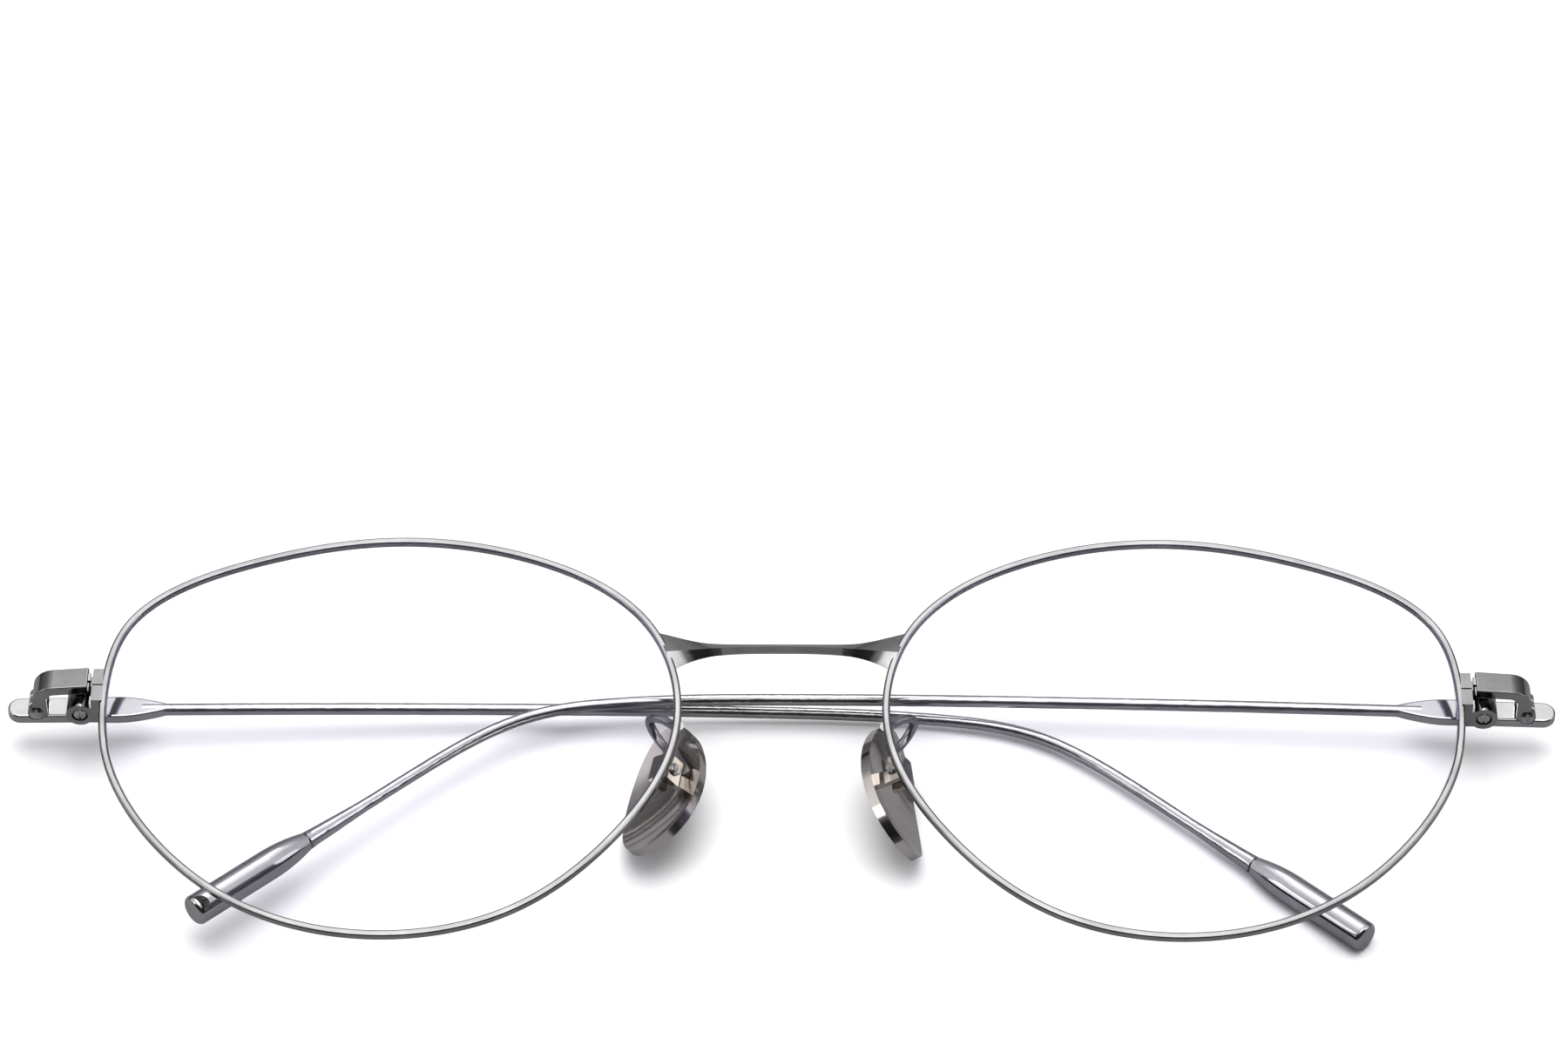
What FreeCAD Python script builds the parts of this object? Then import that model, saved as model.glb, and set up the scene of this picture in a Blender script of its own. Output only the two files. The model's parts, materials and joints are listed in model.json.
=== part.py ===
"""Full-rim metal eyeglasses, folded and lying face-up, in millimetres.

+Z points up from the table, +Y towards the brow and +X towards the wearer's left.
Sides are named as worn: side +1 is the left_ half and side -1 the right_ half.
"""
import FreeCAD, Part
import math
import os
from FreeCAD import Matrix, Placement, Rotation, Vector

doc = FreeCAD.newDocument("eyeglasses")
sheet = doc.addObject("Spreadsheet::Sheet", "sizes")

# ---------------------------------------------------------------- driving dimensions
DIMENSIONS = (
    # rims and lenses, measured to the middle of the rim wire
    ("rim_width", 52.7), ("rim_height", 44.7), ("lens_spacing", 70.38),
    ("rim_wire_width", 0.70), ("rim_wire_depth", 0.74), ("rim_wire_round", 0.2),
    ("base_curve", 150.0), ("back_curve", 139.5), ("wrap_angle", 2.5), ("lens_thickness", 1.5),
    ("lens_gap", 0.01),
    # how the front stands over the table
    ("front_tilt", 5.0), ("front_height", 9.0),
    # hinge axes
    ("hinge_reach", 67.6), ("hinge_rise", 7.5), ("hinge_height", 5.3),
    ("hinge_inset", 0.35), ("hinge_clearance", 0.05), ("knuckle_radius", 0.8),
    ("knuckle_clearance", 0.06), ("middle_knuckle", 0.8), ("washer_thickness", 0.18),
    ("washer_clearance", 0.02), ("pin_radius", 0.35), ("pin_clearance", 0.03),
    # end pieces
    ("strap_height", 2.4), ("strap_thickness", 1.0), ("leg_thickness", 1.3), ("strap_round", 0.12),
    # temples
    ("blade_height", 2.4), ("blade_thickness", 1.0), ("blade_round", 0.22), ("butt_reach", 2.7),
    ("shaft_radius", 0.55), ("wire_end_radius", 0.62), ("wire_end_length", 6.0),
    ("fold_right", 2.64), ("fold_left", 1.15), ("hook_rise_rate", 0.068),
    # temple tips
    ("tip_radius", 1.4), ("tip_neck_radius", 0.88), ("tip_length", 12.8), ("tip_grip", 8.5),
    ("tip_bore", 6.2), ("groove_gap", 0.26),
    # rim locks
    ("lock_radius", 1.25), ("lock_length", 3.9), ("lock_split", 0.16), ("lock_pin_radius", 0.4),
    # nose pads
    ("pad_length", 14.0), ("pad_width", 8.4), ("pad_thickness", 0.9), ("pad_curve", 16.0),
    ("toe_right", 10.7), ("toe_left", 7.2), ("splay_right", 50.5), ("splay_left", 30.3),
    ("box_length", 2.6), ("box_width", 1.9), ("box_depth", 2.0), ("lug_width", 0.7),
    ("lug_clearance", 0.1), ("arm_radius", 0.42),
)
for row, (alias, value) in enumerate(DIMENSIONS, 1):
    sheet.set("A%d" % row, alias)
    sheet.set("B%d" % row, str(value))
    sheet.setAlias("B%d" % row, alias)
doc.recompute()


def size(alias):
    """A driving dimension, as a plain number."""
    return float(sheet.get(alias))


SIDES = (("left", 1), ("right", -1))
X_AXIS = Vector(1, 0, 0)
Y_AXIS = Vector(0, 1, 0)
Z_AXIS = Vector(0, 0, 1)
parts = []


def keep(piece, label):
    """Name a finished sub-part."""
    piece.Label = label
    parts.append(piece)
    return piece


# ---------------------------------------------------------------- frames of reference
def turn(axis, angle):
    return Placement(Vector(), Rotation(axis, angle))


def move(x, y, z):
    return Placement(Vector(x, y, z), Rotation())


def front_frame():
    """Middle of the front: x across, y up the face, z out of the front."""
    return move(0, 0, size("front_height")) * turn(X_AXIS, size("front_tilt"))


def lens_frame(side):
    """Middle of one lens, turned back at the temple by the wrap."""
    spot = move(side * size("lens_spacing") / 2, 0, 0)
    return front_frame() * spot * turn(Y_AXIS, side * size("wrap_angle"))


def hinge_frame(side):
    """Middle of a hinge axis, which lies along y."""
    return move(side * size("hinge_reach"), size("hinge_rise"), size("hinge_height"))


def temple_frame(side):
    """Hinge frame turned by how far the temple stands off its folded stop."""
    fold = size("fold_left") if side > 0 else size("fold_right")
    return hinge_frame(side) * turn(Y_AXIS, -side * fold)


def pad_frame(side):
    """Pad screw: x along the screw, y up the pad, z out of the back of the pad."""
    toe = math.radians(size("toe_left") if side > 0 else size("toe_right"))
    splay = math.radians(size("splay_left") if side > 0 else size("splay_right"))
    up = Vector(-side * math.sin(toe), math.cos(toe), 0)
    out = Vector(side * math.cos(splay) * math.cos(toe), math.cos(splay) * math.sin(toe),
                 math.sin(splay))
    across = up.cross(out)
    spot = Vector(side * 10.35, -1.46, -3.1)
    axes = Matrix(across.x, up.x, out.x, spot.x,
                  across.y, up.y, out.y, spot.y,
                  across.z, up.z, out.z, spot.z,
                  0, 0, 0, 1)
    return front_frame() * Placement(axes)


# ---------------------------------------------------------------- building helpers
def primitive(kind, name, where, **sizes):
    """A Part primitive whose sizes are expressions on the sheet."""
    solid = doc.addObject("Part::" + kind, name)
    for prop, expression in sizes.items():
        solid.setExpression(prop, expression)
    solid.Placement = where
    return solid


def fuse(name, shapes):
    joined = doc.addObject("Part::MultiFuse", name)
    joined.Shapes = shapes
    return joined


def cut(name, base, tool):
    result = doc.addObject("Part::Cut", name)
    result.Base = base
    result.Tool = tool
    return result


def common(name, base, tool):
    result = doc.addObject("Part::Common", name)
    result.Base = base
    result.Tool = tool
    return result


def feature(name, shape):
    piece = doc.addObject("Part::Feature", name)
    piece.Shape = shape
    return piece


def new_body(name, where):
    body = doc.addObject("PartDesign::Body", name)
    body.Placement = where
    return body


def new_sketch(body, name, role, geometry):
    """A sketch on one of the body's own origin planes."""
    plane = [item for item in body.Origin.OriginFeatures if item.Role == role][0]
    sketch = body.newObject("Sketcher::SketchObject", name)
    sketch.AttachmentSupport = (plane, [""])
    sketch.MapMode = "FlatFace"
    sketch.addGeometry(geometry, False)
    return sketch


def outline(points):
    """Closed polygon of line segments for a sketch."""
    ends = points[1:] + points[:1]
    return [Part.LineSegment(Vector(*a, 0), Vector(*b, 0)) for a, b in zip(points, ends)]


def revolve(body, name, points):
    """Turn a half-profile of (radius, height) points about the body's z axis."""
    sketch = new_sketch(body, name + "_profile", "XZ_Plane", outline(points))
    turned = body.newObject("PartDesign::Revolution", name)
    turned.Profile = sketch
    turned.ReferenceAxis = (sketch, ["V_Axis"])
    turned.Angle = 360
    return turned


def polygon_wire(points):
    return Part.makePolygon(points + points[:1])


def smooth_curve(points):
    curve = Part.BSplineCurve()
    curve.interpolate(points)
    return curve


def cylinder_along_y(name, radius, start, length, where):
    """Cylinder from y = start, along y."""
    laid = where * turn(X_AXIS, -90)
    return primitive("Cylinder", name, laid * move(0, 0, start), Radius=radius, Height=length)


def slotted_screw(label, where, shaft, shaft_length, head, head_height):
    """Small screw along z with its slotted head at the top."""
    body = new_body(label, where)
    profile = [(0, -shaft_length), (shaft, -shaft_length), (shaft, 0), (head, 0),
               (head, head_height * 0.6), (head * 0.8, head_height), (0, head_height)]
    revolve(body, label + "_turned", profile)
    slot_half = 0.09
    slot = outline([(-slot_half, head_height * 0.5), (slot_half, head_height * 0.5),
                    (slot_half, head_height * 2), (-slot_half, head_height * 2)])
    sketch = new_sketch(body, label + "_slot", "XZ_Plane", slot)
    pocket = body.newObject("PartDesign::Pocket", label + "_pocket")
    pocket.Profile = sketch
    pocket.SideType = "Symmetric"
    pocket.Length = head * 3
    return body


# ---------------------------------------------------------------- rims and lenses
# Where the rim passes, as fractions of half its width and height: from the temple side,
# over the brow to the nose and back below.
RIM_POINTS = ((0.975, 0.0), (0.99, 0.332), (0.928, 0.634), (0.457, 0.936), (0.0, 1.005),
              (-0.445, 0.912), (-0.86, 0.585), (-0.975, 0.0), (-0.772, -0.527), (-0.432, -0.88),
              (0.0, -0.987), (0.421, -0.858), (0.76, -0.52))
MEAN_RADIUS = 24.4


def curve_height(x, y, radius):
    """Height of a sphere over the mean plane of the rim."""
    return math.sqrt(radius ** 2 - x ** 2 - y ** 2) - math.sqrt(radius ** 2 - MEAN_RADIUS ** 2)


def rim_curve(side, curved):
    """Closed curve along the middle of the rim wire, flat or on the base curve."""
    points = []
    for across, up in RIM_POINTS:
        x = side * across * size("rim_width") / 2
        y = up * size("rim_height") / 2
        z = curve_height(x, y, size("base_curve")) if curved else 0
        points.append(Vector(x, y, z))
    curve = Part.BSplineCurve()
    curve.interpolate(points, PeriodicFlag=True)
    return curve


def rounded_rectangle(where, width, height, radius):
    """Wire of a rectangle with rounded corners, in the xy plane of a placement."""
    sheet_face = Part.makePlane(width, height, Vector(-width / 2, -height / 2, 0))
    prism = sheet_face.extrude(Vector(0, 0, 1))
    upright = [edge for edge in prism.Edges if abs(edge.tangentAt(0).z) > 0.9]
    rounded = prism.makeFillet(radius, upright)
    base = [face for face in rounded.Faces if abs(face.CenterOfMass.z) < 1e-6][0]
    wire = base.OuterWire.copy()
    wire.transformShape(where.toMatrix())
    return wire


def make_rim(label, side):
    """Rim wire swept round the lens, with a slit at the rim lock."""
    curve = rim_curve(side, True)
    spine = Part.Wire(curve.toShape())
    start = curve.value(curve.FirstParameter)
    along = curve.tangent(curve.FirstParameter)[0]
    outward = along.cross(Z_AXIS).normalize()
    upward = outward.cross(along)
    axes = Matrix(outward.x, upward.x, along.x, start.x,
                  outward.y, upward.y, along.y, start.y,
                  outward.z, upward.z, along.z, start.z,
                  0, 0, 0, 1)
    profile = rounded_rectangle(Placement(axes), size("rim_wire_width"), size("rim_wire_depth"),
                                size("rim_wire_round"))
    sweep = Part.BRepOffsetAPI.MakePipeShell(spine)
    sweep.setBiNormalMode(Z_AXIS)
    sweep.add(profile, False, False)
    sweep.build()
    sweep.makeSolid()
    ring = sweep.shape()
    ring.transformShape(lens_frame(side).toMatrix())
    split = size("lock_split")
    slit = Part.makeBox(4, split, 8, Vector(-2, -split / 2, -4))
    slit.transformShape(lock_frame(side).toMatrix())
    return keep(feature(label, ring.cut(slit)), label)


def lens_edge(side):
    """Flat outline of a lens: the rim curve moved in by half the wire and a small gap."""
    inset = size("rim_wire_width") / 2 + size("lens_gap")
    curve = rim_curve(side, False)
    start = curve.FirstParameter
    steps = 72
    points = []
    for step in range(steps):
        parameter = start + (curve.LastParameter - start) * step / steps
        outward = curve.tangent(parameter)[0].cross(Z_AXIS) * side
        points.append(curve.value(parameter) - outward.normalize() * inset)
    edge = Part.BSplineCurve()
    edge.interpolate(points, PeriodicFlag=True)
    return Part.Wire(edge.toShape())


def make_lens(label, side):
    """Meniscus lens: the space inside the rim between two spheres."""
    blank = feature(label + "_outline", Part.Face(lens_edge(side)))
    blank.Placement = move(0, 0, -10)
    prism = doc.addObject("Part::Extrusion", label + "_prism")
    prism.Base = blank
    prism.Dir = Z_AXIS
    prism.LengthFwd = 20
    prism.Solid = True
    half = size("lens_thickness") / 2
    front_radius = size("base_curve")
    back_radius = size("back_curve")
    rest = math.sqrt(front_radius ** 2 - MEAN_RADIUS ** 2)
    back_rest = math.sqrt(back_radius ** 2 - MEAN_RADIUS ** 2)
    front = primitive("Sphere", label + "_front", move(0, 0, half - rest) * turn(X_AXIS, 90),
                      Radius="sizes.base_curve")
    back = primitive("Sphere", label + "_back", move(0, 0, -half - back_rest) * turn(X_AXIS, 90),
                     Radius="sizes.back_curve")
    shell = cut(label + "_shell", front, back)
    lens = common(label, prism, shell)
    lens.Placement = lens_frame(side)
    return keep(lens, label)


# ---------------------------------------------------------------- bridge
# Each station: distance from the middle, ridge height, top, bottom, lean of the section,
# and how far the ridge stands forward.
BRIDGE_STATIONS = ((0.0, 9.3, 10.05, 9.05, 0.0, 1.65), (4.5, 9.2, 10.08, 8.93, 0.02, 1.6),
                   (7.0, 9.1, 10.3, 8.55, 0.08, 1.5), (9.0, 9.0, 10.95, 7.9, 0.2, 1.4),
                   (10.65, 8.95, 11.7, 7.15, 0.36, 1.3))
BRIDGE_BACK = 0.55


def bridge_section(side, station):
    """Five corners: top edge, front ridge, bottom edge and two back corners."""
    reach, ridge, top, bottom, lean, forward = station
    middle = (top + bottom) / 2
    edge_z = forward - 0.65
    back_z = edge_z - BRIDGE_BACK
    corners = ((top, edge_z), (ridge, forward), (bottom, edge_z),
               (middle - (top - bottom) * 0.2, back_z), (middle + (top - bottom) * 0.2, back_z))
    return [Vector(side * (reach + lean * (y - middle)), y, z) for y, z in corners]


def make_bridge(label):
    """Forged bar that flares into a ridged triangle against each rim."""
    stations = [bridge_section(-1, station) for station in reversed(BRIDGE_STATIONS)]
    stations += [bridge_section(1, station) for station in BRIDGE_STATIONS[1:]]
    lines = [smooth_curve(list(corner)).toShape() for corner in zip(*stations)]
    faces = [Part.makeRuledSurface(a, b) for a, b in zip(lines, lines[1:] + lines[:1])]
    faces += [Part.Face(polygon_wire(end)) for end in (stations[0], stations[-1])]
    shell = Part.makeShell(faces)
    shell.sewShape()
    bar = Part.makeSolid(shell)
    if bar.Volume < 0:
        bar.reverse()
    bar.transformShape(front_frame().toMatrix())
    return keep(feature(label, bar), label)


# ---------------------------------------------------------------- rim locks
def lock_frame(side):
    """Middle of a rim lock's barrel, whose axis lies along y."""
    return move(side * 63.5, 7.0, 6.4)


def make_lock_block(label, side, above):
    """Half of a rim lock: a barrel, its neck and the flange brazed to the rim."""
    frame = lock_frame(side)
    gap = size("lock_split") / 2
    reach = size("lock_length") / 2 - gap
    start = gap if above else -gap - reach
    length = "sizes.lock_length / 2 - sizes.lock_split / 2"
    barrel = cylinder_along_y(label + "_barrel", "sizes.lock_radius", start, length, frame)
    inner_end = side * -2.1
    low = -0.95
    neck_corner = min(inner_end, side * -0.3)
    neck = primitive("Box", label + "_neck", frame * move(neck_corner, start, low),
                     Length="1.8", Width=length, Height="1.9")
    flange_corner = min(inner_end, side * -1.1)
    flange = primitive("Box", label + "_flange", frame * move(flange_corner, start, low),
                       Length="1.0", Width=length, Height="2.95")
    solid = fuse(label + "_solid", [barrel, neck, flange])
    hole = cylinder_along_y(label + "_hole", "sizes.lock_pin_radius + 0.02", -4, "8", frame)
    if above:
        return keep(cut(label, solid, hole), label)
    # the screw head sinks 0.4 into this seat
    seat = cylinder_along_y(label + "_seat", "0.75", -gap - reach - 1, "1.4", frame)
    return keep(cut(label, solid, fuse(label + "_bores", [hole, seat])), label)


def make_lock_screw(label, side):
    """Screw that closes the rim lock, its head in the lower block."""
    half = size("lock_length") / 2
    where = lock_frame(side) * move(0, 0.4 - half, 0) * turn(X_AXIS, 90)
    return keep(slotted_screw(label, where, size("lock_pin_radius"), 3.1, 0.68, 0.36), label)


# ---------------------------------------------------------------- end pieces and hinges
def make_end_piece(label, side):
    """Strap from the rim that bends back into a leg with two hinge knuckles."""
    body = new_body(label, hinge_frame(side))
    inset = size("hinge_inset")
    leg = size("leg_thickness")
    strap = size("strap_thickness")
    inner_end = Vector(side * -4.85, 3.57, 0)
    bend_start = Vector(side * -1.6, 3.28, 0)
    bend_middle = Vector(side * -0.2, 2.62, 0)
    bend_end = Vector(side * inset, 1.3, 0)
    foot_out = Vector(side * inset, -inset, 0)
    foot_in = Vector(side * (inset - leg), -inset, 0)
    inner_bend = Vector(side * (inset - leg), 1.35, 0)
    inner_turn = Vector(side * -1.2, 2.05, 0)
    strap_under = Vector(side * -1.85, 3.3 - strap, 0)
    inner_under = Vector(side * -4.85, 3.57 - strap, 0)
    shape = [Part.LineSegment(inner_end, bend_start),
             Part.Arc(bend_start, bend_middle, bend_end),
             Part.LineSegment(bend_end, foot_out),
             Part.LineSegment(foot_out, foot_in),
             Part.LineSegment(foot_in, inner_bend),
             Part.Arc(inner_bend, inner_turn, strap_under),
             Part.LineSegment(strap_under, inner_under),
             Part.LineSegment(inner_under, inner_end)]
    sketch = new_sketch(body, label + "_side_view", "XZ_Plane", shape)
    strip = body.newObject("PartDesign::Pad", label + "_strip")
    strip.Profile = sketch
    strip.SideType = "Symmetric"
    strip.setExpression("Length", "sizes.strap_height")
    doc.recompute()
    softened = body.newObject("PartDesign::Fillet", label + "_softened")
    softened.Base = (strip, ["Edge%d" % (i + 1) for i in range(len(strip.Shape.Edges))])
    softened.setExpression("Radius", "sizes.strap_round")
    doc.recompute()
    # two knuckles, round the hinge axis
    knuckle = [Part.Circle(Vector(), Vector(0, 0, 1), size("knuckle_radius"))]
    rings = new_sketch(body, label + "_knuckle_circle", "XZ_Plane", knuckle)
    knuckles = body.newObject("PartDesign::Pad", label + "_knuckles")
    knuckles.Profile = rings
    knuckles.SideType = "Symmetric"
    knuckles.setExpression("Length", "sizes.strap_height")
    # slot for the temple's knuckle and the washers
    reach = 1.5
    top = size("knuckle_radius") + size("knuckle_clearance")
    gap = outline([(-reach, -reach), (reach, -reach), (reach, top), (-reach, top)])
    slot_sketch = new_sketch(body, label + "_slot_view", "XZ_Plane", gap)
    slot = body.newObject("PartDesign::Pocket", label + "_slot")
    slot.Profile = slot_sketch
    slot.SideType = "Symmetric"
    slot.setExpression("Length", "sizes.middle_knuckle + 2 * (sizes.washer_thickness"
                       " + 2 * sizes.washer_clearance)")
    bore = [Part.Circle(Vector(), Vector(0, 0, 1), size("pin_radius") + 0.01)]
    bore_sketch = new_sketch(body, label + "_bore_circle", "XZ_Plane", bore)
    bored = body.newObject("PartDesign::Pocket", label + "_bore")
    bored.Profile = bore_sketch
    bored.SideType = "Symmetric"
    bored.Length = 8
    # tongue brazed to the upper lock block
    tongue_x = sorted((side * -5.05, side * -4.7))
    tongue = outline([(tongue_x[0], 2.75), (tongue_x[1], 2.75), (tongue_x[1], 3.1),
                      (tongue_x[0], 3.1)])
    tongue_sketch = new_sketch(body, label + "_tongue_view", "XZ_Plane", tongue)
    brazed = body.newObject("PartDesign::Pad", label + "_tongue")
    brazed.Profile = tongue_sketch
    brazed.Length = 0.9
    brazed.Reversed = True
    return keep(body, label)


def make_hinge_screw(label, side):
    """Hinge screw along y, with its head below the lower knuckle."""
    half = size("strap_height") / 2
    where = hinge_frame(side) * move(0, -half, 0) * turn(X_AXIS, 90)
    length = 2 * half - 0.05
    return keep(slotted_screw(label, where, size("pin_radius"), length, 0.6, 0.3), label)


def make_hinge_washers(label, side):
    """Two thin friction washers, one on each side of the temple's knuckle."""
    rings = []
    start = size("middle_knuckle") / 2 + size("washer_clearance")
    thickness = size("washer_thickness")
    for name, low in (("_upper", start), ("_lower", -start - thickness)):
        disc = cylinder_along_y(label + name, "sizes.knuckle_radius - 0.03", low,
                                "sizes.washer_thickness", hinge_frame(side))
        hole = cylinder_along_y(label + name + "_hole", "sizes.pin_radius + 0.02", -3, "6",
                                hinge_frame(side))
        rings.append(cut(label + name + "_ring", disc, hole))
    pair = doc.addObject("Part::Compound", label)
    pair.Links = rings
    return keep(pair, label)


# ---------------------------------------------------------------- temples
# Half outline of the blade from above: distance inboard of the hinge and half height.
BLADE_OUTLINE = ((5.5, 1.2), (7.0, 1.28), (8.4, 1.2), (9.6, 0.98), (10.8, 0.68), (11.8, 0.35))
# Middle line of the shaft and hook: distance inboard of the hinge, height as worn.
SHAFT_POINTS = ((9.4, 0.53), (25.0, 1.36), (40.0, 2.02), (55.0, 2.58), (67.0, 2.86), (76.0, 2.7),
                (83.0, 2.08), (88.2, 1.1), (91.4, -0.15), (94.6, -2.1), (99.2, -5.85),
                (105.3, -11.45))
TIP_START = (109.9, -15.65)
TIP_END = (119.3, -24.3)
HOOK_START = 66.0
BLADE_LEAN = 0.057


def blade_middle():
    """Height of the blade's middle plane over the hinge axis."""
    return -size("hinge_inset") - size("hinge_clearance") - size("blade_thickness") / 2


def temple_point(side, inboard, upward):
    """Point on the temple's middle line; the hook curls in towards the head."""
    beyond = max(0.0, inboard - HOOK_START)
    ease = beyond ** 2 / (beyond + 20.0)
    rise = size("hook_rise_rate") * ease
    return Vector(-side * inboard, upward, blade_middle() + rise)


def make_blade(side):
    """Flat leaf with a round butt end, narrowing to the wire."""
    reach = size("butt_reach")
    half = size("blade_height") / 2
    upper = [Vector(-side * inboard, height, 0) for inboard, height in BLADE_OUTLINE]
    lower = [Vector(-side * inboard, -height, 0) for inboard, height in BLADE_OUTLINE]
    butt = side * (reach - half)
    rim = [Part.LineSegment(Vector(butt, half, 0), upper[0]).toShape(),
           smooth_curve(upper).toShape(),
           Part.LineSegment(upper[-1], lower[-1]).toShape(),
           smooth_curve(lower).toShape(),
           Part.LineSegment(lower[0], Vector(butt, -half, 0)).toShape(),
           Part.Arc(Vector(butt, -half, 0), Vector(side * reach, 0, 0),
                    Vector(butt, half, 0)).toShape()]
    thickness = size("blade_thickness")
    flat = Part.Face(Part.Wire(Part.__sortEdges__(rim)))
    leaf = flat.extrude(Vector(0, 0, thickness))
    edges = [edge for edge in leaf.Edges if abs(edge.tangentAt(edge.FirstParameter).z) < 0.1]
    leaf = leaf.makeFillet(size("blade_round"), edges)
    lean = math.degrees(math.atan(BLADE_LEAN))
    where = move(0, 0, blade_middle() - thickness / 2) * turn(Z_AXIS, -side * lean)
    leaf.transformShape(where.toMatrix())
    return leaf


def make_shaft(side):
    """Wire shaft and ear hook: round sections along a curve, swelling towards the tip."""
    groove = temple_point(side, *TIP_START)
    heading = (temple_point(side, *TIP_END) - groove).normalize()
    points = [temple_point(side, *point) for point in SHAFT_POINTS] + [groove]
    curve = Part.BSplineCurve()
    curve.interpolate(Points=points, InitialTangent=Vector(-side, 0.055, 0), FinalTangent=heading)
    wire = size("shaft_radius")
    swell = size("tip_neck_radius") - 0.03 - wire
    span = curve.LastParameter - curve.FirstParameter
    steps = 44
    rings = []
    for step in range(steps + 1):
        parameter = curve.FirstParameter + span * step / steps
        spot = curve.value(parameter)
        along = curve.tangent(parameter)[0]
        across = Z_AXIS.cross(along).normalize()
        up = along.cross(across)
        axes = Matrix(across.x, up.x, along.x, spot.x,
                      across.y, up.y, along.y, spot.y,
                      across.z, up.z, along.z, spot.z,
                      0, 0, 0, 1)
        near_tip = max(0.0, 1 - (groove - spot).Length / 8.0)
        circle = Part.Circle(Vector(), Z_AXIS, wire + swell * near_tip ** 1.5)
        ring = Part.Wire(circle.toShape())
        ring.transformShape(axes)
        rings.append(ring)
    return Part.makeLoft(rings, True, False)


def make_temple(label, side):
    """Blade with its hinge knuckle, drawn out into a wire shaft and ear hook."""
    blade = make_blade(side)
    # wire shaft and hook, ending along the tip
    shaft = make_shaft(side)
    groove = temple_point(side, *TIP_START)
    heading = (temple_point(side, *TIP_END) - groove).normalize()
    buried = 0.6
    collar = Part.makeCylinder(size("wire_end_radius"), size("wire_end_length") + buried,
                               groove - heading * buried, heading)
    middle = size("middle_knuckle")
    knuckle = Part.makeCylinder(size("knuckle_radius"), middle, Vector(0, -middle / 2, 0), Y_AXIS)
    temple = blade.fuse(shaft).fuse(collar).fuse(knuckle)
    # grooves for the end piece's knuckles, and the screw hole
    room = size("knuckle_radius") + size("knuckle_clearance")
    for low in (middle / 2, -middle / 2 - 2):
        temple = temple.cut(Part.makeCylinder(room, 2, Vector(0, low, 0), Y_AXIS))
    hole = size("pin_radius") + size("pin_clearance")
    temple = temple.cut(Part.makeCylinder(hole, 6, Vector(0, -3, 0), Y_AXIS))
    piece = feature(label, temple)
    piece.Placement = temple_frame(side)
    return keep(piece, label)


def make_temple_tip(label, side):
    """Sleeve over the end of the wire: a tapered neck and a plain round grip."""
    start = temple_point(side, *TIP_START)
    heading = (temple_point(side, *TIP_END) - start).normalize()
    where = temple_frame(side) * Placement(start + heading * size("groove_gap"), Rotation(Z_AXIS, heading))
    length = size("tip_length")
    radius = size("tip_radius")
    neck = size("tip_neck_radius")
    bore = size("wire_end_radius") + 0.01
    bore_end = size("tip_bore")
    grip_start = length - size("tip_grip")
    round_end = 0.45
    # the neck swells into the grip along an arc that meets the grip smoothly
    rise = radius - neck
    neck_curve = (grip_start ** 2 + rise ** 2) / (2 * rise)
    half_turn = math.asin(grip_start / neck_curve) / 2
    neck_middle = Vector(radius - neck_curve * (1 - math.cos(half_turn)),
                         grip_start - neck_curve * math.sin(half_turn), 0)
    profile = [Part.LineSegment(Vector(bore, 0, 0), Vector(neck, 0, 0)),
               Part.Arc(Vector(neck, 0, 0), neck_middle, Vector(radius, grip_start, 0)),
               Part.LineSegment(Vector(radius, grip_start, 0), Vector(radius, length - round_end, 0)),
               Part.Arc(Vector(radius, length - round_end, 0),
                        Vector(radius - 0.13, length - 0.13, 0),
                        Vector(radius - round_end, length, 0)),
               Part.LineSegment(Vector(radius - round_end, length, 0), Vector(0, length, 0)),
               Part.LineSegment(Vector(0, length, 0), Vector(0, bore_end, 0)),
               Part.LineSegment(Vector(0, bore_end, 0), Vector(bore, bore_end, 0)),
               Part.LineSegment(Vector(bore, bore_end, 0), Vector(bore, 0, 0))]
    body = new_body(label, where)
    sketch = new_sketch(body, label + "_profile", "XZ_Plane", profile)
    turned = body.newObject("PartDesign::Revolution", label + "_turned")
    turned.Profile = sketch
    turned.ReferenceAxis = (sketch, ["V_Axis"])
    turned.Angle = 360
    return keep(body, label)


# ---------------------------------------------------------------- nose pads
# Middle line of a pad arm, in the front frame: from the rim, up and back, down to the box.
ARM_POINTS = ((9.2, 0.95, 0.65), (9.7, 1.75, -0.4), (10.9, 3.0, -1.0), (11.9, 3.6, -2.0),
              (11.4, 2.95, -3.3), (10.35, 1.3, -3.4), (10.07, -0.45, -3.1))
LUG_SPOT = Vector(-1.15, 1.2, 0)
SCREW_TO_PAD = 1.75


def make_pad_arm(label, side):
    points = [Vector(side * x, y, z) for x, y, z in ARM_POINTS]
    spine = Part.Wire(smooth_curve(points).toShape())
    heading = spine.Edges[0].tangentAt(spine.Edges[0].FirstParameter)
    section = Part.Wire(Part.Circle(points[0], heading, size("arm_radius")).toShape())
    arm = spine.makePipeShell([section], True, True)
    arm.transformShape(front_frame().toMatrix())
    return keep(feature(label, arm), label)


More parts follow.
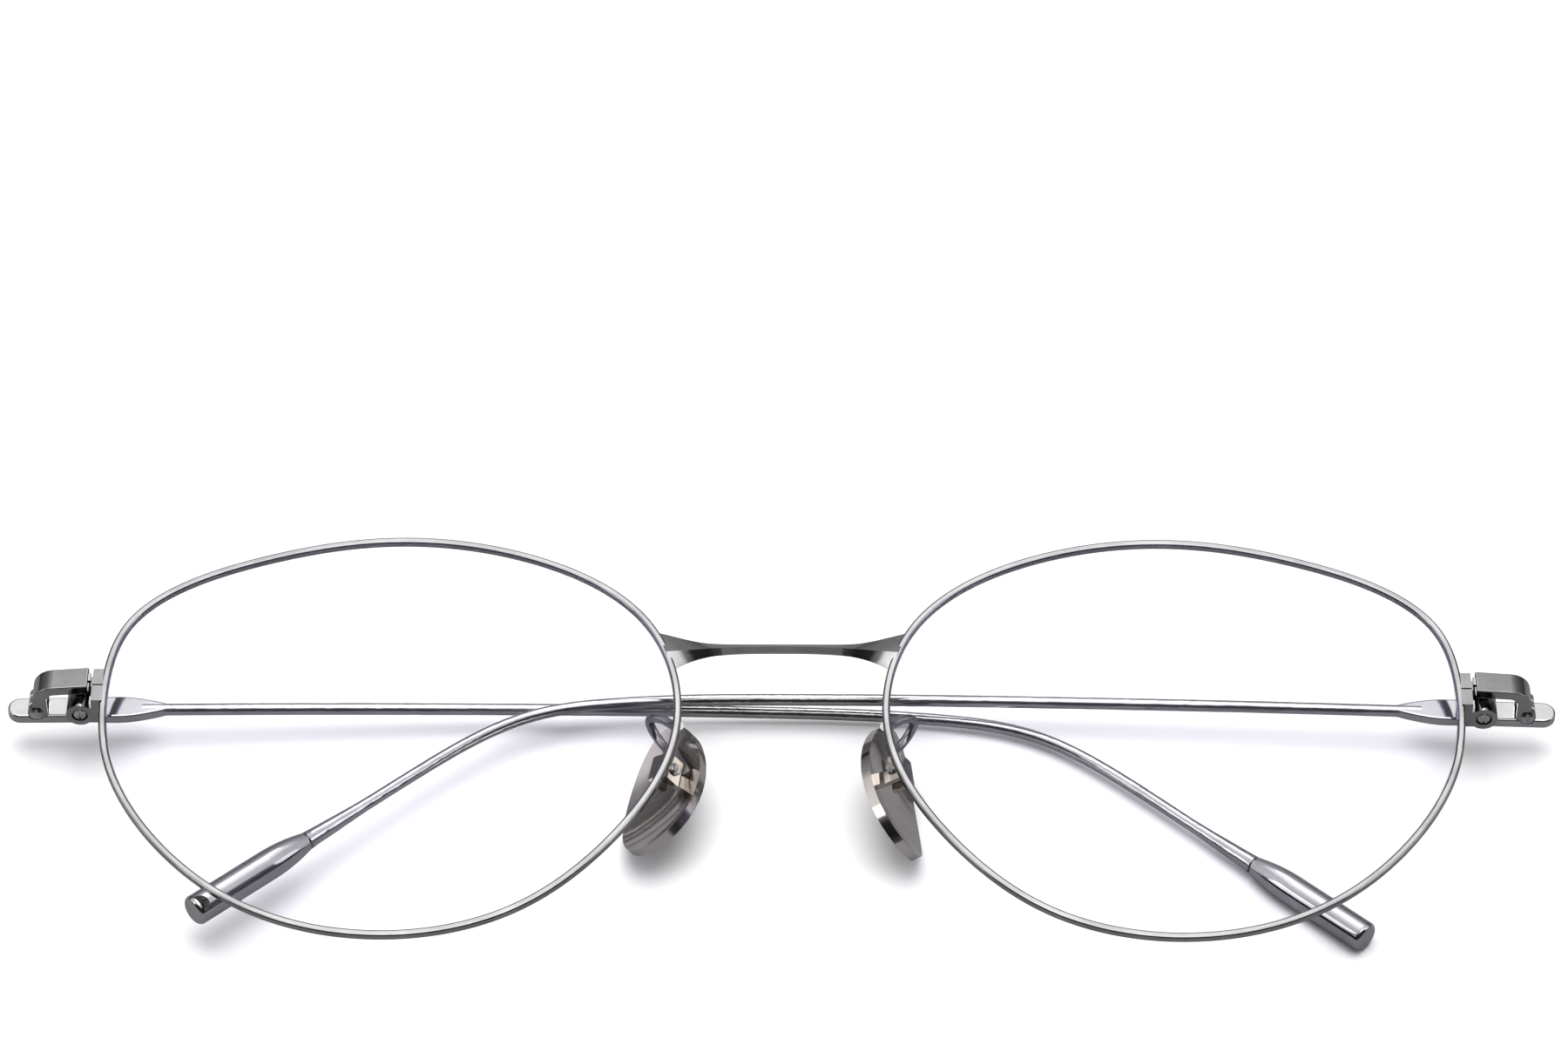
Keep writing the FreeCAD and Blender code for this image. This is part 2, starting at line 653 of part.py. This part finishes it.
def make_pad_box(label, side):
    """Square box on the arm: open towards the pad and below, with a hole for the screw."""
    frame = pad_frame(side)
    width = size("box_width")
    length = size("box_length")
    block = primitive("Box", label + "_block", frame * move(-width / 2, -length / 2, -0.9),
                      Length="sizes.box_width", Width="sizes.box_length", Height="sizes.box_depth")
    slot_width = size("lug_width") + 2 * size("lug_clearance")
    slot = primitive("Box", label + "_slot", frame * move(-slot_width / 2, -length, -1.9),
                     Length="sizes.lug_width + 2 * sizes.lug_clearance",
                     Width="sizes.box_length + 0.85", Height="2.72")
    along_screw = frame * turn(Y_AXIS, 90)
    hole = primitive("Cylinder", label + "_hole", along_screw * move(0, 0, -2),
                     Radius="sizes.pin_radius + 0.01", Height="4")
    return keep(cut(label, block, fuse(label + "_tools", [slot, hole])), label)


def make_pad_screw(label, side):
    """Screw across the box, its head on the front face."""
    half = size("box_width") / 2
    where = pad_frame(side) * turn(Y_AXIS, -side * 90) * move(0, 0, half)
    return keep(slotted_screw(label, where, size("pin_radius"), 2 * half, 0.58, 0.3), label)


def make_nose_pad(label, side):
    """Dished oval metal pad with a lug for the screw."""
    along = size("pad_length") / 2
    across = size("pad_width") / 2
    thickness = size("pad_thickness")
    curve = size("pad_curve")
    centre = Vector(-side * LUG_SPOT.x, -LUG_SPOT.y, 0)
    ring = Part.Ellipse(Vector(0, along, 0), Vector(across, 0, 0), Vector(0, 0, 0))
    oval = feature(label + "_oval", Part.Face(Part.Wire(ring.toShape())))
    oval.Placement = move(centre.x, centre.y, -8)
    prism = doc.addObject("Part::Extrusion", label + "_prism")
    prism.Base = oval
    prism.Dir = Z_AXIS
    prism.LengthFwd = 16
    prism.Solid = True
    top = -SCREW_TO_PAD
    lying = turn(X_AXIS, 90)
    outer = primitive("Sphere", label + "_face", Radius="sizes.pad_curve",
                      where=move(centre.x, centre.y, top - thickness + curve) * lying)
    inner = primitive("Sphere", label + "_dish", Radius="sizes.pad_curve",
                      where=move(centre.x, centre.y, top + curve) * lying)
    dish = common(label + "_bowl", prism, cut(label + "_shell", outer, inner))
    lug_width = size("lug_width")
    post = primitive("Box", label + "_post", move(-lug_width / 2, -0.6, top - 0.4),
                     Length="sizes.lug_width", Width="1.2", Height="%f" % (0.4 - top))
    eye = primitive("Cylinder", label + "_eye", move(-lug_width / 2, 0, 0) * turn(Y_AXIS, 90),
                    Radius="0.7", Height="sizes.lug_width")
    hole = primitive("Cylinder", label + "_hole", move(-2, 0, 0) * turn(Y_AXIS, 90),
                     Radius="sizes.pin_radius + sizes.pin_clearance", Height="4")
    pad = cut(label, fuse(label + "_solid", [dish, post, eye]), hole)
    pad.Placement = pad_frame(side)
    return keep(pad, label)


# ---------------------------------------------------------------- assembly
make_bridge("bridge")
for word, hand in SIDES:
    make_rim(word + "_rim", hand)
    make_lens(word + "_lens", hand)
    make_lock_block(word + "_lock_block_upper", hand, True)
    make_lock_block(word + "_lock_block_lower", hand, False)
    make_lock_screw(word + "_lock_screw", hand)
    make_end_piece(word + "_end_piece", hand)
    make_hinge_screw(word + "_hinge_screw", hand)
    make_hinge_washers(word + "_hinge_washers", hand)
    make_temple(word + "_temple", hand)
    make_temple_tip(word + "_temple_tip", hand)
    make_pad_arm(word + "_pad_arm", hand)
    make_pad_box(word + "_pad_box", hand)
    make_pad_screw(word + "_pad_screw", hand)
    make_nose_pad(word + "_nose_pad", hand)
doc.recompute()

# Stand the whole object on z = 0 with the middle of its box over the origin.
whole = FreeCAD.BoundBox()
for piece in parts:
    whole.add(piece.Shape.optimalBoundingBox(False))
seat = move(-whole.Center.x, -whole.Center.y, -whole.ZMin)
for piece in parts:
    piece.Placement = seat * piece.Placement
doc.recompute()

for item in doc.Objects:
    if "Invalid" in item.State or "Error" in item.State:
        raise RuntimeError("%s did not build: %s" % (item.Label, item.State))
for piece in parts:
    if piece.Shape.isNull() or not piece.Shape.isValid():
        raise RuntimeError("%s has no valid shape" % piece.Label)

print("seat", seat.Base)
os.makedirs("parts", exist_ok=True)
for piece in parts:
    solids = len(piece.Shape.Solids)
    print("%-26s %d solid(s) %9.3f mm3" % (piece.Label, solids, piece.Shape.Volume))
    piece.Shape.exportStep("parts/%s.step" % piece.Label)
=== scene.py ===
"""Looks, floor, light and camera for the folded wire eyeglasses. Blender 4.5, metres."""
import json
import math

import bpy
from mathutils import Matrix, Vector

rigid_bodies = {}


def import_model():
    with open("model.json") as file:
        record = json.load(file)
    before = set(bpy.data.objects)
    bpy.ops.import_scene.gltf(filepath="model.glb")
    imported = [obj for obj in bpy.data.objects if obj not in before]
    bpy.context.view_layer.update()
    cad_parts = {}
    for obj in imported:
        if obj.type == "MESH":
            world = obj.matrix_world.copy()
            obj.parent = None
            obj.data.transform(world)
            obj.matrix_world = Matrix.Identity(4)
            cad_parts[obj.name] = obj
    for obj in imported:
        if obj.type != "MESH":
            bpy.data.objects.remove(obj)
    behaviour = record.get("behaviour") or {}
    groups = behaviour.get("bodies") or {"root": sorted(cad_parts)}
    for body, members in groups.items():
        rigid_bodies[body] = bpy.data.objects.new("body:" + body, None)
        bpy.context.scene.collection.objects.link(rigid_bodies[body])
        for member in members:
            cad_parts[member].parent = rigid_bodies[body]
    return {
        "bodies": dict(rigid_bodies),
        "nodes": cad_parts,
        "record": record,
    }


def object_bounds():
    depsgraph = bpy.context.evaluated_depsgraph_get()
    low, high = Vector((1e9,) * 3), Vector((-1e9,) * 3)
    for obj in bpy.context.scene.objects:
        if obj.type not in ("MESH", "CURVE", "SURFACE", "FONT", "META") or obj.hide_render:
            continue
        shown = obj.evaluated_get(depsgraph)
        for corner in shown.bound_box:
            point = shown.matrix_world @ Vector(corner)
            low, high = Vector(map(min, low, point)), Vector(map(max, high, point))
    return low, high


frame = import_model()
cad_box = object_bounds()
nodes = frame["nodes"]


# ------------------------------------------------------------------ node helpers
class Nodes:
    """Short names for adding and joining the nodes of one material or world."""

    def __init__(self, tree):
        self.tree = tree
        tree.nodes.clear()

    def add(self, kind, **settings):
        node = self.tree.nodes.new(kind)
        for name, value in settings.items():
            setattr(node, name, value)
        return node

    def join(self, source, target):
        self.tree.links.new(source, target)

    def noise(self, coordinates, scale, detail, roughness=0.55):
        """Cloud noise from 0 to 1, its scale in waves per metre."""
        node = self.add("ShaderNodeTexNoise")
        node.inputs["Scale"].default_value = scale
        node.inputs["Detail"].default_value = detail
        node.inputs["Roughness"].default_value = roughness
        self.join(coordinates, node.inputs["Vector"])
        return node.outputs["Fac"]

    def span(self, value, low, high, start=0.0, end=1.0):
        """Map a value from start..end to low..high."""
        node = self.add("ShaderNodeMapRange")
        node.inputs["From Min"].default_value = start
        node.inputs["From Max"].default_value = end
        node.inputs["To Min"].default_value = low
        node.inputs["To Max"].default_value = high
        self.join(value, node.inputs["Value"])
        return node.outputs["Result"]

    def mix_colour(self, factor, first, second):
        """Colour from first, where the factor is 0, to second, where it is 1."""
        node = self.add("ShaderNodeMix", data_type="RGBA")
        node.inputs["A"].default_value = (*first, 1)
        node.inputs["B"].default_value = (*second, 1)
        self.join(factor, node.inputs["Factor"])
        return node.outputs["Result"]

    def stretch(self, coordinates, factors):
        """Scale the coordinates, so that a small factor draws noise out along its axis."""
        node = self.add("ShaderNodeMapping")
        node.inputs["Scale"].default_value = factors
        self.join(coordinates, node.inputs["Vector"])
        return node.outputs["Vector"]

    def bump(self, height, strength, distance):
        """Normal of a surface raised by up to distance, in metres."""
        node = self.add("ShaderNodeBump")
        node.inputs["Strength"].default_value = strength
        node.inputs["Distance"].default_value = distance
        self.join(height, node.inputs["Height"])
        return node.outputs["Normal"]


def new_material(name):
    """Empty node material: the material, its node helper, its output and its place socket."""
    material = bpy.data.materials.new(name)
    material.use_nodes = True
    kit = Nodes(material.node_tree)
    output = kit.add("ShaderNodeOutputMaterial")
    place = kit.add("ShaderNodeTexCoord").outputs["Object"]
    return material, kit, output, place


# ------------------------------------------------------------------ materials
HAIRLINE_SCALE = 5200.0
PAD_HAIRLINE_SCALE = 4200.0
MARK_DEPTH = 0.00001


def polished_metal(name, light, dark, roughness, lines, line_depth):
    """Polished metal: cloudy tone, hairlines along x and a slightly uneven gloss."""
    material, kit, output, place = new_material(name)
    cloud = kit.noise(place, 260.0, 3.0)
    hair = kit.noise(kit.stretch(place, (0.05, 1.0, 1.0)), lines, 2.0, 0.7)
    speck = kit.noise(place, 5200.0, 1.0)
    shader = kit.add("ShaderNodeBsdfPrincipled")
    shader.inputs["Metallic"].default_value = 1.0
    kit.join(kit.mix_colour(kit.span(cloud, 0.0, 1.0, 0.35, 0.65), light, dark),
             shader.inputs["Base Color"])
    uneven = kit.add("ShaderNodeMath", operation="MULTIPLY")
    kit.join(kit.span(hair, 0.88, 1.15, 0.3, 0.7), uneven.inputs[0])
    kit.join(kit.span(speck, roughness * 0.8, roughness * 1.25, 0.3, 0.7), uneven.inputs[1])
    kit.join(uneven.outputs[0], shader.inputs["Roughness"])
    kit.join(kit.bump(hair, 0.02, line_depth), shader.inputs["Normal"])
    kit.join(shader.outputs[0], output.inputs["Surface"])
    return material


def turned_metal(name, light, dark):
    """Small bright screws: fine turning marks and a darker, worn tone in patches."""
    material, kit, output, place = new_material(name)
    patch = kit.noise(place, 900.0, 4.0)
    mark = kit.noise(kit.stretch(place, (1.0, 0.2, 1.0)), 9000.0, 2.0)
    shader = kit.add("ShaderNodeBsdfPrincipled")
    shader.inputs["Metallic"].default_value = 1.0
    kit.join(kit.mix_colour(kit.span(patch, 0.0, 1.0, 0.4, 0.62), light, dark),
             shader.inputs["Base Color"])
    kit.join(kit.span(mark, 0.16, 0.34, 0.3, 0.7), shader.inputs["Roughness"])
    kit.join(kit.bump(mark, 0.25, MARK_DEPTH), shader.inputs["Normal"])
    kit.join(shader.outputs[0], output.inputs["Surface"])
    return material


def washer_plastic(name):
    """Milky low-friction plastic with a faint mottle."""
    material, kit, output, place = new_material(name)
    mottle = kit.noise(place, 2500.0, 3.0)
    shader = kit.add("ShaderNodeBsdfPrincipled")
    kit.join(kit.mix_colour(mottle, (0.72, 0.70, 0.66), (0.84, 0.83, 0.80)),
             shader.inputs["Base Color"])
    kit.join(kit.span(mottle, 0.38, 0.55), shader.inputs["Roughness"])
    kit.join(kit.bump(mottle, 0.1, MARK_DEPTH), shader.inputs["Normal"])
    kit.join(shader.outputs[0], output.inputs["Surface"])
    return material


def coated_lens(name):
    """Clear lens: a faint violet body and a bluish coating that shows at a slant."""
    material, kit, output, place = new_material(name)
    haze = kit.noise(place, 45.0, 2.0)
    clear = kit.add("ShaderNodeBsdfTransparent")
    kit.join(kit.mix_colour(haze, (0.988, 0.986, 0.998), (0.992, 0.989, 1.0)),
             clear.inputs["Color"])
    gloss = kit.add("ShaderNodeBsdfGlossy")
    kit.join(kit.mix_colour(haze, (0.62, 0.60, 0.95), (0.75, 0.66, 0.92)), gloss.inputs["Color"])
    kit.join(kit.span(haze, 0.01, 0.03), gloss.inputs["Roughness"])
    slant = kit.add("ShaderNodeLayerWeight")
    slant.inputs["Blend"].default_value = 0.5
    steep = kit.add("ShaderNodeMath", operation="POWER")
    steep.inputs[1].default_value = 4.0
    kit.join(slant.outputs["Facing"], steep.inputs[0])
    share = kit.span(steep.outputs[0], 0.004, 0.45)
    mixed = kit.add("ShaderNodeMixShader")
    kit.join(share, mixed.inputs[0])
    kit.join(clear.outputs[0], mixed.inputs[1])
    kit.join(gloss.outputs[0], mixed.inputs[2])
    kit.join(mixed.outputs[0], output.inputs["Surface"])
    return material


def studio_floor(name):
    """Pale matte paper; in polished metal's reflections it shows dark grey instead, a painted
    darker reflection that keeps the metal's undersides grey.
    """
    material, kit, output, place = new_material(name)
    grain = kit.noise(place, 400.0, 3.0)
    shader = kit.add("ShaderNodeBsdfDiffuse")
    kit.join(kit.mix_colour(grain, (0.90, 0.90, 0.905), (0.915, 0.915, 0.915)),
             shader.inputs["Color"])
    kit.join(kit.span(grain, 0.2, 0.4), shader.inputs["Roughness"])
    # painted reflection: dark grey seen only by glossy rays, not the paper's own colour
    painted_reflection_shade = kit.add("ShaderNodeBsdfDiffuse")
    painted_reflection_shade.inputs["Color"].default_value = (0.26, 0.26, 0.27, 1)
    mirrored = kit.add("ShaderNodeLightPath").outputs["Is Glossy Ray"]
    mixed = kit.add("ShaderNodeMixShader")
    kit.join(mirrored, mixed.inputs[0])
    kit.join(shader.outputs[0], mixed.inputs[1])
    kit.join(painted_reflection_shade.outputs[0], mixed.inputs[2])
    kit.join(mixed.outputs[0], output.inputs["Surface"])
    return material


MATERIALS = {
    # front_metal and temple_metal are one metal; front_metal's darker colour is painted shade
    # standing in for the rims' darker reflections
    "front_metal": polished_metal("front_metal", (0.33, 0.325, 0.32), (0.26, 0.255, 0.255),
                                  0.07, HAIRLINE_SCALE, 0.000008),
    "temple_metal": polished_metal("temple_metal", (0.48, 0.475, 0.475), (0.40, 0.395, 0.395),
                                   0.07, HAIRLINE_SCALE, 0.000008),
    "pad_metal": polished_metal("pad_metal", (0.64, 0.60, 0.565), (0.54, 0.51, 0.475),
                                0.09, PAD_HAIRLINE_SCALE, 0.000012),
    "screw_metal": turned_metal("screw_metal", (0.56, 0.555, 0.55), (0.36, 0.355, 0.35)),
    "washer_plastic": washer_plastic("washer_plastic"),
    "lens_clear": coated_lens("lens_clear"),
}

for part in frame["record"]["subparts"]:
    slots = nodes[part["node"]].data.materials
    slots.clear()
    slots.append(MATERIALS[part["material_slot"]])


# ------------------------------------------------------------------ stage
# An open temple's frame stands this far under its folded place, and its tip under the table.
TEMPLE_FALL = 0.0624
FLOOR_FALL = 0.1185
FLOOR_HALF = 3.0
FLOOR_GAP = 0.00002


def make_floor(low):
    """Wide pale floor just under the lowest point of the object."""
    signs = ((-1, -1), (1, -1), (1, 1), (-1, 1))
    corners = [(x * FLOOR_HALF, y * FLOOR_HALF, low) for x, y in signs]
    mesh = bpy.data.meshes.new("floor")
    mesh.from_pydata(corners, [], [(0, 1, 2, 3)])
    mesh.materials.append(studio_floor("floor"))
    floor = bpy.data.objects.new("floor", mesh)
    bpy.context.scene.collection.objects.link(floor)
    # the floor sinks with a temple that opens, and no lower when both do
    for body in ("left_temple", "right_temple"):
        follow = floor.constraints.new("TRANSFORM")
        follow.target = frame["bodies"][body]
        follow.map_from = "LOCATION"
        follow.map_to = "LOCATION"
        follow.from_min_z = -TEMPLE_FALL
        follow.from_max_z = 0.0
        follow.map_to_z_from = "Z"
        follow.to_min_z = -FLOOR_FALL
        follow.to_max_z = 0.0
        follow.mix_mode = "ADD"
    stop = floor.constraints.new("LIMIT_LOCATION")
    stop.use_min_z = True
    stop.min_z = -FLOOR_FALL


make_floor(cad_box[0][2] - FLOOR_GAP)


# Brightness of the studio over the object: degrees from the horizon behind it, and level.
DOME = ((0, 0.25), (22, 0.50), (40, 0.95), (56, 2.6), (90, 3.2), (108, 2.4), (120, 0.5),
        (134, 0.06), (160, 0.04), (180, 0.12))


def make_world():
    """Bright sheet overhead and behind, dark on the camera's side and out to the sides."""
    world = bpy.data.worlds.new("studio")
    world.use_nodes = True
    kit = Nodes(world.node_tree)
    output = kit.add("ShaderNodeOutputWorld")
    direction = kit.add("ShaderNodeTexCoord").outputs["Generated"]
    axes = kit.add("ShaderNodeSeparateXYZ")
    kit.join(direction, axes.inputs[0])
    sweep = kit.add("ShaderNodeMath", operation="ARCTAN2")
    kit.join(axes.outputs["Z"], sweep.inputs[0])
    kit.join(axes.outputs["Y"], sweep.inputs[1])
    dome = kit.add("ShaderNodeValToRGB")
    dome.color_ramp.interpolation = "EASE"
    ramp = dome.color_ramp.elements
    while len(ramp) < len(DOME):
        ramp.new(0.5)
    for element, (degrees, level) in zip(ramp, DOME):
        element.position = degrees / 180
        element.color = (level, level, level * 1.02, 1)
    kit.join(kit.span(sweep.outputs[0], 0.0, 1.0, 0.0, math.pi), dome.inputs[0])
    aside = kit.add("ShaderNodeMath", operation="ABSOLUTE")
    kit.join(axes.outputs["X"], aside.inputs[0])
    backdrop = kit.add("ShaderNodeBackground")
    kit.join(kit.span(aside.outputs[0], 1.0, 0.35, 0.14, 0.5), backdrop.inputs["Strength"])
    kit.join(dome.outputs[0], backdrop.inputs["Color"])
    kit.join(backdrop.outputs[0], output.inputs["Surface"])
    bpy.context.scene.world = world


make_world()


WHITE = (1, 1, 1)
# Name, place, width, depth, watts, colour, and whether polished metal mirrors the box.
SOFTBOXES = (
    ("overhead", (0.0, 0.02, 0.85), 0.70, 0.55, 3.4, WHITE, False),
    ("back_box", (0.0, 0.75, 0.80), 0.16, 0.16, 0.25, WHITE, True),
    ("left_box", (-0.8, -0.25, 0.45), 0.25, 0.45, 0.7, WHITE, True),
    ("right_box", (0.8, -0.15, 0.45), 0.25, 0.45, 0.6, (0.95, 0.93, 1.0), True),
)


def add_softbox(name, place, width, depth, watts, colour, mirrored):
    """Rectangular light aimed at the origin."""
    data = bpy.data.lights.new(name, "AREA")
    data.shape = "RECTANGLE"
    data.size = width
    data.size_y = depth
    data.energy = watts
    data.color = colour
    light = bpy.data.objects.new(name, data)
    light.visible_glossy = mirrored
    light.location = place
    light.rotation_euler = (-Vector(place)).to_track_quat("-Z", "Y").to_euler()
    bpy.context.scene.collection.objects.link(light)


for softbox in SOFTBOXES:
    add_softbox(*softbox)


# ------------------------------------------------------------------ camera
ELEVATION = math.radians(47.22)
TIP_UP = math.radians(1.952)
ROLL = math.radians(0.17)
DISTANCE = 0.560
LENS_MM = 143.42
SHIFT = (0.00111, 0.00139)
FRONT_HEIGHT = 0.009


def make_camera():
    """Long lens from in front and above, tipped up so that the object sits low in the frame."""
    centre = Vector((0.0, 0.0, FRONT_HEIGHT))
    place = centre + DISTANCE * Vector((0, -math.cos(ELEVATION), math.sin(ELEVATION)))
    data = bpy.data.cameras.new("camera")
    data.lens = LENS_MM
    data.clip_start = 0.01
    data.shift_x, data.shift_y = SHIFT
    camera = bpy.data.objects.new("camera", data)
    aim = Matrix.Rotation(math.pi / 2 - ELEVATION + TIP_UP, 4, "X")
    camera.matrix_world = Matrix.Translation(place) @ aim @ Matrix.Rotation(ROLL, 4, "Z")
    bpy.context.scene.collection.objects.link(camera)
    bpy.context.scene.camera = camera


make_camera()

view_settings = bpy.context.scene.view_settings
view_settings.view_transform = "Standard"
view_settings.look = "None"
